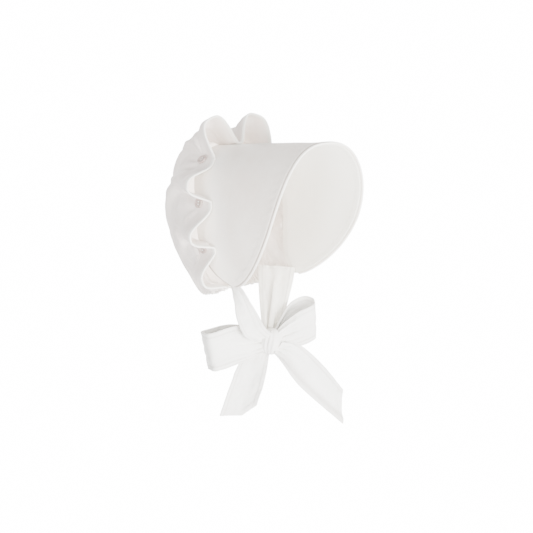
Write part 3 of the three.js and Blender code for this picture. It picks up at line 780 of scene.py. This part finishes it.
def folded_tape(name, rows, shares, edge_row, off, replaces=()):
    """Tape folded over an edge of the crown. Rows run from the tape's inner edge to the cloth's."""
    every = np.linspace(0, LAST_ROW, 241)
    full = crown_cloth_grid(every, shares)
    lines = np.stack([read_line(full[:, j], every, rows) for j in range(len(shares))], 1)
    normal = grid_normals(lines)
    edge, edge_normal = lines[edge_row], normal[edge_row]
    inner = lines[1] if edge_row == 0 else lines[-2]
    tangent = unit(np.gradient(edge, axis=0))
    out = edge - inner
    out = unit(out - tangent * (out * tangent).sum(1, keepdims=True))
    order = list(range(len(rows))) if edge_row else list(range(len(rows) - 1, -1, -1))
    upper = [lines[i] + normal[i] * off for i in order]
    round_edge = [
        edge + out * off * math.sin(turn) + edge_normal * off * math.cos(turn)
        for turn in np.linspace(0, math.pi, 9)[1:-1]
    ]
    lower = [lines[i] - normal[i] * off for i in reversed(order)]
    grid = np.stack([*upper, *round_edge, *lower])
    pucker = 0.1 * np.sin(lengths_along(edge) * 2 * math.pi / TAPE_STITCH)
    grid = grid + grid_normals(grid) * pucker[None, :, None]
    return cloth(name, grid, TAPE_WALL, TAPE, replaces), grid


LAP_TAPE_ROWS, NECK_TAPE_ROWS = 0.26, 0.5  # how much of the edge's first row the tape covers
binding, binding_grid = folded_tape(
    "lap_binding",
    np.linspace(0, LAP_TAPE_ROWS, 8),
    np.linspace(-1, 1, 561),
    edge_row=0, off=0.8, replaces=["crown_binding"],
)
neck_tape, neck_grid = folded_tape(
    "neck_tape",
    np.linspace(LAST_ROW - NECK_TAPE_ROWS, LAST_ROW, 8),
    np.linspace(-0.985, 0.985, 461),
    edge_row=7, off=0.95,
)
crown_seams = sewing(
    "crown_seams",
    [
        (grid[i] + grid_normals(grid)[i] * 0.2, grid_normals(grid)[i])
        for grid in (binding_grid, neck_grid)
        for i in (1, -2)
    ],
    THREAD,
)

# Buttons, sewn on through the lap


PEARL_LAYER = 5.26  # from one layer of the shell to the next where the button's face cuts them


def mother_of_pearl():
    """Cut and polished shell in layers, under a clear gloss; its warm grey that catches pink is
    painted darker than bare shell, for the shade the buttons sit in.
    """
    gloss = {"Coat_Weight": 0.5, "Coat_Roughness": 0.12}
    material, shader = new_material(
        "mother_of_pearl", Roughness=0.32, Specular_IOR_Level=0.6, **gloss
    )
    place = node(material, "ShaderNodeTexCoord")
    scale, whole = 1 / (PEARL_LAYER * MM), [("Vector", place, "Object")]
    layers = node(material, "ShaderNodeTexNoise", whole, Scale=scale, Detail=3, Distortion=1.5)
    bands = node(material, "ShaderNodeValToRGB", [("Fac", layers, "Fac")])
    stops = bands.color_ramp.elements
    stops.new(0.5)
    # Painted shade: the layers' colours are a darker pinkish grey than bare shell
    for stop, position, code in zip(stops, (0.3, 0.5, 0.7), ("#a08c84", "#b8a29c", "#c8beb2")):
        stop.position, stop.color = position, srgb(code)
    material.node_tree.links.new(bands.outputs["Color"], shader.inputs["Base Color"])
    return material


PEARL = mother_of_pearl()
BUTTON_RIM, BUTTON_SLOPE, BUTTON_DISH = 1.3, 0.5, 0.55  # rim's width, slope's width, dish's depth
BUTTON_BEVEL = 0.15


def turned_button():
    """A four-hole button about the origin: a round blank, dished, drilled and with its rim broken."""
    height = BUTTON_THICKNESS * MM
    bpy.ops.mesh.primitive_cylinder_add(vertices=40, radius=BUTTON_DIAMETER / 2 * MM, depth=height)
    button = bpy.context.object
    button.name = "button_blank"
    bpy.ops.object.mode_set(mode="EDIT")
    bpy.ops.mesh.select_mode(type="FACE")
    bpy.ops.mesh.select_all(action="DESELECT")
    bpy.ops.object.mode_set(mode="OBJECT")
    for face in button.data.polygons:
        face.select = face.normal.z > 0.9
    bpy.ops.object.mode_set(mode="EDIT")
    bpy.ops.mesh.inset(thickness=BUTTON_RIM * MM, depth=0)
    bpy.ops.mesh.inset(thickness=BUTTON_SLOPE * MM, depth=-BUTTON_DISH * MM)
    bpy.ops.object.mode_set(mode="OBJECT")
    button.select_set(False)
    half = BUTTON_HOLE_SPACING / 2 * MM
    for x, y in ((half, half), (-half, half), (-half, -half), (half, -half)):
        bpy.ops.mesh.primitive_cylinder_add(
            vertices=14, radius=BUTTON_HOLE / 2 * MM, depth=3 * height, location=(x, y, 0)
        )
        drill = bpy.context.object
        bpy.context.view_layer.objects.active = button
        hole = button.modifiers.new("hole", "BOOLEAN")
        hole.operation = "DIFFERENCE"
        hole.solver = "EXACT"
        hole.object = drill
        bpy.ops.object.modifier_apply(modifier="hole")
        bpy.data.objects.remove(drill)
    bevel = button.modifiers.new("broken_edges", "BEVEL")
    bevel.width = BUTTON_BEVEL * MM
    bevel.segments = 2
    bevel.limit_method = "ANGLE"
    bevel.angle_limit = math.radians(35)
    bpy.ops.object.modifier_apply(modifier="broken_edges")
    button.select_set(True)
    bpy.ops.object.shade_smooth_by_angle(angle=math.radians(40))
    button.select_set(False)
    return button


def button_frame(number):
    """The middle of a button, its face's way out, the way across the lap's edge and the way along."""
    share = 2 * number / BAYS - 1
    y = float(lap_edge(np.array([share]))[0]) + BUTTON_INSET
    angle = float(hood_angle(np.array([share]))[0])
    normal = hood_normal(y, angle)
    lift = lap_off(BUTTON_INSET) + CROWN_WALL / 2 + CLEARANCE + BUTTON_THICKNESS / 2
    forward = unit(hood_point(y - 1, angle) - hood_point(y + 1, angle))
    return hood_point(y, angle) + normal * lift, normal, forward, np.cross(normal, forward)


STRANDS = (-0.3, 0, 0.3)  # of thread in each pair of holes, from the holes' middle
SLIT_OVERRUN, SLIT_HALF_WIDTH = 1.6, 0.55  # of a buttonhole past the button's rim, and across it


def pearl_button(blank, number):
    """A copy of the blank in its place on the lap."""
    middle, normal, forward, side = button_frame(number)
    mesh = blank.data.copy()
    mesh.name = f"pearl_button_{number}"
    turn = Matrix([forward.tolist(), side.tolist(), normal.tolist()]).transposed().to_4x4()
    mesh.transform(Matrix.Translation(Vector(middle * MM)) @ turn)
    mesh.materials.append(PEARL)
    added = bpy.data.objects.new(mesh.name, mesh)
    bpy.context.scene.collection.objects.link(added)
    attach(added, "root")
    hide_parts(f"button_{number}")


def button_strands(number):
    """Thread from hole to hole over the dish, three strands in each pair of holes."""
    middle, normal, forward, side = button_frame(number)
    level = BUTTON_THICKNESS / 2 - BUTTON_DISH
    along = forward * np.linspace(0, 2 * BUTTON_HOLE_SPACING + 0.1, 9)[:, None]
    strands = []
    for across in (-1, 1):
        for strand in STRANDS:
            away = side * (across * BUTTON_HOLE_SPACING / 2 + strand)
            start = middle + away + normal * level - forward * BUTTON_HOLE_SPACING
            strands.append((start + along, np.tile(normal, (len(along), 1))))
    return strands


def buttonhole(number):
    """The worked edge of the slit under a button, an oval along the pull of the cloth."""
    middle, normal, forward, side = button_frame(number)
    reach = BUTTON_DIAMETER / 2 + SLIT_OVERRUN
    turns = np.linspace(0, 2 * math.pi, 60)[:, None]
    low = middle - normal * (BUTTON_THICKNESS / 2 + CLEARANCE)
    oval = low + forward * reach * np.cos(turns) + side * SLIT_HALF_WIDTH * np.sin(turns)
    return oval, np.tile(normal, (len(turns), 1))


button_numbers = range(1, BAYS)
button_blank = turned_button()
for button_number in button_numbers:
    pearl_button(button_blank, button_number)
bpy.data.objects.remove(button_blank)
button_threads = sewing(
    "button_threads",
    [strand for number in button_numbers for strand in button_strands(number)],
    THREAD, pitch=BUTTON_HOLE_SPACING, length=BUTTON_HOLE_SPACING, radius=0.2,
)
buttonholes = sewing(
    "buttonholes",
    [buttonhole(number) for number in button_numbers],
    THREAD, pitch=0.55, length=0.5, radius=0.3,
)

# Sash and bow

BOW_WAYS = np.array(  # along, up and out
    [
        [math.cos(BOW_TURN), -math.sin(BOW_TURN), 0],
        [0, 0, 1],
        [-math.sin(BOW_TURN), -math.cos(BOW_TURN), 0],
    ]
)
KNOT_CENTRE = np.array([0, -KNOT_FORWARD, -KNOT_DROP])


def bow_vector(*amounts):
    """A vector from its amounts along the bow, up and out."""
    return sum(np.asarray(amount)[..., None] * way for amount, way in zip(amounts, BOW_WAYS))


def bow_point(along, up, out):
    return bow_vector(along, up, out) + KNOT_CENTRE


def sash_grid(middle, edge, pleat, cup, profile, pleats, rows, corner):
    """A length of sash through sections, each a middle and the way from it to one edge.

    corner: how much shorter one edge is, as a share of the length, where the end is cut.
    """
    across, lift = profile[:, 0], profile[:, 1]
    end = 1 - corner * np.clip(across * 1.5 - 0.5, 0, 1)
    t = np.linspace(0, 1, rows)[:, None] * end[None]
    mid, way = spline(middle, t), spline(edge, t)
    fold, hollow = spline(pleat, t), spline(cup, t)
    step = 0.01
    ahead = spline(middle, np.minimum(t + step, 1)) - spline(middle, np.maximum(t - step, 0))
    normal = unit(np.cross(way, ahead))
    out = fold * np.cos(math.pi * pleats * (across + 1))
    out = out + hollow * (1 - across**2) + lift * SASH_WALL
    return mid + way * across[:, None] + normal * out[..., None]


def bow_sections(table, length):
    along, *widths = np.array(table).T
    up, out, *edge, pleat, cup = (column * SASH_WIDTH for column in widths)
    return bow_point(along * length, up, out), bow_vector(*edge), pleat, cup


# Columns: along as a share of the length, then up and out, the way to one edge (along, up, out),
# the pleats' depth and the hollow, all as shares of the sash's width
RIGHT_LOOP_TABLE = [
    (-0.08, -0.03, -0.1, 0, 0.18, 0, 0.03, 0),
    (-0.3, 0.0, -0.16, 0, 0.38, 0, 0.02, 0),
    (-0.6, 0.01, -0.21, 0, 0.49, 0, 0, 0),
    (-0.96, -0.08, -0.21, -0.08, 0.49, 0, 0, 0),
    (-0.99, -0.08, -0.02, -0.09, 0.49, 0, 0, 0),
    (-0.93, -0.06, 0.2, -0.08, 0.49, 0, 0, 0),
    (-0.6, 0.03, 0.14, 0, 0.5, 0, 0, 0),
    (-0.3, 0.0, 0.03, 0, 0.38, 0, 0.025, 0),
    (-0.08, -0.03, -0.01, 0, 0.2, 0, 0.03, 0),
]
LEFT_LOOP_TABLE = [
    (0.08, 0.0, -0.06, 0, -0.2, 0, 0.035, 0),
    (0.3, 0.22, -0.16, 0.04, -0.34, 0, 0.03, 0),
    (0.6, 0.45, -0.23, 0.1, -0.45, 0, 0, 0),
    (0.88, 0.57, -0.2, 0.1, -0.48, 0, 0, 0),
    (0.98, 0.54, 0.0, 0.02, -0.48, 0, 0, 0),
    (0.91, 0.45, 0.2, 0.02, -0.46, 0, 0, 0),
    (0.6, 0.32, 0.22, 0.05, -0.44, 0, 0, 0),
    (0.3, 0.15, 0.12, 0.04, -0.32, 0, 0.03, 0),
    (0.08, 0.0, 0.05, 0, -0.2, 0, 0.035, 0),
]
RIGHT_TAIL_TABLE = [
    (-0.04, -0.16, -0.2, 0.17, 0.05, 0, 0.03, 0),
    (-0.16, -0.48, -0.3, 0.36, 0.04, 0.05, 0.02, 0),
    (-0.3, -1.1, -0.16, 0.42, 0.02, 0.12, 0, 0.1),
    (-0.47, -1.93, -0.08, 0.4, 0.0, 0.16, 0, 0.08),
]
LEFT_TAIL_TABLE = [
    (0.05, -0.12, 0.2, 0.12, 0.12, 0, 0.04, 0),
    (0.19, -0.3, 0.26, 0.24, 0.2, 0, 0.035, 0),
    (0.46, -0.99, 0.22, 0.28, 0.29, 0.05, 0, 0.06),
    (0.9, -2.03, 0.08, -0.02, 0.49, 0.04, 0, 0.05),
]

TIE_ANGLE = math.pi - math.asin(math.sin(HORN_ANGLE)) - TIE_LAP / LOWER_REACH


def inside_horn(side, y):
    inset = BRIM_WALL / 2 + CLEARANCE + TIE_PLEAT + SASH_WALL / 2
    return hood_point(y, side * TIE_ANGLE) - hood_normal(y, side * TIE_ANGLE) * inset


# Columns: share of the way down, then along, up and out from that line, turn, pleat, cup
LEFT_TIE_TABLE = [
    (0, 0, 0, 0, 0, 0.6, 0),
    (0.2, 0, 0, 0, 0.1, 0.5, 0),
    (0.6, 0, 0, 0, 0.5, 0.3, 0),
    (1, 0, 0, 0, 1, 1.8, 0),
]
RIGHT_TIE_TABLE = [
    (0, 0, 0, 0, 0, 1, 0),
    (0.3, -0.07, 0, 0.02, 0.5, 0, 0),
    (0.6, -0.17, 0, 0.12, 1, 0, 0),
    (0.85, -0.21, 0.02, 0.2, 1.05, 0, 0),
    (1, 0, 0, 0, 0.85, 1, 0),
]


def tie_sections(table, front, back, end, end_edge):
    down, *shift, turn, pleat, cup = np.array(table).T
    middle = lerp((front + back) / 2, end, down[:, None]) + bow_vector(*shift) * SASH_WIDTH
    edge = lerp((front - back) / 2, end_edge, turn[:, None])
    return middle, edge, pleat * TIE_PLEAT, cup * SASH_WIDTH


LEFT_TIE_SEAT, RIGHT_TIE_SEAT = 0.9, 1.07  # how far forward the ties are sewn on, of the horn's way
LEFT_TIE_WAY, RIGHT_TIE_WAY = np.array([-0.45, 0.89, 0]), np.array([0.4, 0.92, 0])
left_front = inside_horn(1, -SEAT_TO_HORN * LEFT_TIE_SEAT)
left_back = left_front + LEFT_TIE_WAY * SASH_WIDTH
left_tie = tie_sections(
    LEFT_TIE_TABLE, left_front, left_back,
    bow_point(*np.array([0.08, 0.16, -0.2]) * SASH_WIDTH),
    bow_vector(0.22 * SASH_WIDTH, 0, 0),
)
right_front = inside_horn(-1, -SEAT_TO_HORN * RIGHT_TIE_SEAT)
right_back = right_front + RIGHT_TIE_WAY * FOLDED_TIE_WIDTH
right_tie = tie_sections(
    RIGHT_TIE_TABLE, right_front, right_back,
    bow_point(*np.array([-0.25, 0.13, 0.15]) * SASH_WIDTH),
    bow_vector(0.46 * FOLDED_TIE_WIDTH, 0.16 * FOLDED_TIE_WIDTH, 0),
)


def folded_profile(columns):
    """Across the folded tie: its face, the round fold at the back, and the flap over it."""
    face = np.linspace(1, -0.94, columns)
    turn = np.linspace(math.pi / 2, 3 * math.pi / 2, 12)[1:-1]
    flap = np.linspace(-0.94, -0.2, columns // 2)
    across = np.concatenate([face, -0.94 + 0.06 * np.cos(turn), flap])
    lift = np.concatenate([np.zeros(columns), 1 - np.sin(turn), np.full(columns // 2, 2)])
    return np.stack([across, lift], 1)


HEM_WIDTH, HEM_STEP = 4.5, 1.2  # of the sash's side hems, and of the slope where they begin
# How much painted shade darkens the sash at its hems' steps and along its edges
HEM_PAINTED_SHADE, EDGE_PAINTED_SHADE = 0.26, 0.25
CREASE_PAINTED_SHADE = 0.11  # of painted shade in a crease, for each millimetre of its depth


def gather_strength(t, start, end):
    """1 at a gathered end and 0 past a share of the length from it."""
    return sum(1 - smooth(away / reach) for away, reach in ((t, start), (1 - t, end)) if reach)


def sash_length(
    name, node_name, sections, profile, pleats, rows, gathers, seed,
    corner=0, crease=None, material=SASH_COTTON,
):
    """A length of sash with folds drawn in at its gathered ends and thick hems at its sides, and
    painted shade at the hems' steps, along its edges and in a crease.

    gathers: shares of its length from each end over which the folds fade out, and their depth.
    crease: the place across, width and depth of a lengthwise crease, and where it begins.
    corner: how much shorter one edge is cut, as a share of the length.
    """
    grid = sash_grid(*sections, profile, pleats, rows, corner)
    normal = grid_normals(grid)
    t = np.linspace(0, 1, rows)[:, None]
    across = profile[:, 0][None]
    start, end, depth = gathers
    places = arc_places(grid)
    u, v = places[..., 0], places[..., 1]
    wander = 0.8 * undulation(u, v * 0.25, 26, seed)
    folds = np.cos(across * math.pi * 4.5 + wander)
    folds = folds + 0.5 * np.cos(across * math.pi * 8.2 + 2 * wander)
    crumple = 0.35 * undulation(u, v, 22, seed + 1) + 0.2 * undulation(u, v, 9, seed + 2)
    ridge = np.abs(undulation(u, v * 0.6, 20, seed + 3)) ** 0.7
    lift = depth * gather_strength(t, start, end) * folds + crumple - 0.7 * ridge
    from_edge = SASH_WIDTH / 2 * (1 - np.abs(across)) * np.ones_like(t)
    # Painted shade at the hems' steps and along the edges, and below, in the crease
    painted_shade_amount = HEM_PAINTED_SHADE * near(from_edge - HEM_WIDTH, 0.9) + EDGE_PAINTED_SHADE * near(from_edge, 0.8)
    if crease:
        place, width, deep, begins = crease
        line = place + 0.05 * np.sin(5 * t)
        dent = np.exp(-np.abs((across - line) / width) ** 1.3)
        pressed = deep * smooth((t - begins) / 0.5) * dent
        lift = lift - pressed
        painted_shade_amount = np.maximum(painted_shade_amount, CREASE_PAINTED_SHADE * pressed)
    grid = grid + normal * lift[..., None]
    hem = smooth((HEM_WIDTH - from_edge) / HEM_STEP)
    wall = SASH_WALL * (0.72 + 0.4 * hem)
    added = cloth(name, grid, wall, material, [node_name], places)
    mark_points(added, "painted_shade", painted_shade_amount, faces=2)
    return added, grid


def hem_lines(grid, columns, rows=()):
    """Seam lines down the columns and across the rows of a sash's grid, on both its faces."""
    normal = grid_normals(grid)
    lines = []
    for side in (1, -1):
        raised = grid + normal * side * SASH_WALL / 2
        lines += [(raised[:, j], normal[:, j] * side) for j in columns]
        lines += [(raised[i, 3:-3], normal[i, 3:-3] * side) for i in rows]
    return lines


SASH_COLUMNS = 57
FLAT = np.stack([np.linspace(-1, 1, SASH_COLUMNS), np.zeros(SASH_COLUMNS)], 1)
loop_right, loop_right_grid = sash_length(
    "loop_right", "bow_loop_right", bow_sections(RIGHT_LOOP_TABLE, RIGHT_LOOP), FLAT,
    pleats=2, rows=170, gathers=(0.44, 0.44, 1.25), seed=21,
)
loop_left, loop_left_grid = sash_length(
    "loop_left", "bow_loop_left", bow_sections(LEFT_LOOP_TABLE, LEFT_LOOP), FLAT,
    pleats=2, rows=150, gathers=(0.42, 0.46, 1.15), seed=23,
)
tail_right, tail_right_grid = sash_length(
    "tail_right", "bow_tail_right", bow_sections(RIGHT_TAIL_TABLE, RIGHT_TAIL), FLAT,
    pleats=2, rows=110, gathers=(0.5, 0, 1.0), seed=25, corner=0.1,
)
tail_left, tail_left_grid = sash_length(
    "tail_left", "bow_tail_left", bow_sections(LEFT_TAIL_TABLE, LEFT_TAIL), FLAT,
    pleats=2, rows=130, gathers=(0.5, 0, 1.8), seed=27, crease=(-0.68, 0.22, 3.0, -0.1),
)
# The far tie is sash cloth painted in the lining's tone, to match the light it gets inside the hood
tie_far, tie_far_grid = sash_length(
    "tie_far", "tie_left", left_tie, FLAT,
    pleats=3, rows=120, gathers=(0.12, 0.3, 0.25), seed=29,
    crease=(-0.1, 0.16, 3.2, 0.2), material=LINING,
)
tie_near, tie_near_grid = sash_length(
    "tie_near", "tie_right", right_tie, folded_profile(40),
    pleats=2, rows=110, gathers=(0.2, 0.3, 0.3), seed=31, crease=(0.35, 0.12, 0.9, -0.2),
)
TAIL_HEM_ROWS = (-7, -9)
sash_seams = sewing(
    "sash_seams",
    [
        line
        for grid, rows in (
            (loop_right_grid, ()),
            (loop_left_grid, ()),
            (tail_right_grid, TAIL_HEM_ROWS),
            (tail_left_grid, TAIL_HEM_ROWS),
            (tie_far_grid, (6, 8)),
        )
        for line in hem_lines(grid, (5, SASH_COLUMNS - 6), rows)
    ],
    THREAD, pitch=2.4, length=1.7, radius=0.16,
)

KNOT_RINGS, KNOT_SIDES = 90, 160
KNOT_FOLDS = 5  # how many times round the slanting folds repeat
KNOT_ROUNDNESS = 0.75


def knot():
    """The sash wrapped round itself, with folds that run slantwise over the front."""
    rise = np.linspace(0, math.pi, KNOT_RINGS)[:, None]
    turn = np.linspace(0, 2 * math.pi, KNOT_SIDES + 1)[None]
    slant = KNOT_FOLDS * turn + 1.2 * np.cos(rise) + 0.5 * np.sin(2 * turn)
    crease = np.abs(np.sin(slant / 2 + 0.6)) ** 0.5 - 0.6
    fold = np.sin(rise) * (2.5 * crease + 0.5 * np.sin(3 * slant + 1))
    around = np.sin(rise) ** KNOT_ROUNDNESS
    grid = bow_point(
        (KNOT_WIDTH / 2 + fold) * around * np.cos(turn),
        KNOT_HEIGHT / 2 * np.cos(rise) * np.ones_like(turn),
        (KNOT_DEPTH / 2 + fold) * around * np.sin(turn),
    )
    faces = quads(np.arange(KNOT_RINGS * (KNOT_SIDES + 1)).reshape(KNOT_RINGS, -1)).tolist()
    places = np.broadcast_arrays(turn * KNOT_WIDTH / 2, rise * KNOT_HEIGHT / 2)
    places = np.stack(places, -1).reshape(-1, 2)
    return piece("knot", grid.reshape(-1, 3), faces, places, SASH_COTTON, ["bow_knot"])


knot_piece = knot()

# Floor


FLOOR_SIZE, FLOOR_HEIGHT = 1.8, -1.4  # in metres, well below the bonnet


def pale_floor():
    """Uncoated white paper: quite matt, with no tone of its own."""
    material, _ = new_material("white_paper", Base_Color=srgb("#ffffff"), Roughness=1)
    bpy.ops.mesh.primitive_plane_add(size=FLOOR_SIZE, location=(0, 0, FLOOR_HEIGHT))
    floor = bpy.context.object
    floor.name = "floor"
    floor.data.materials.append(material)
    floor.select_set(False)


pale_floor()
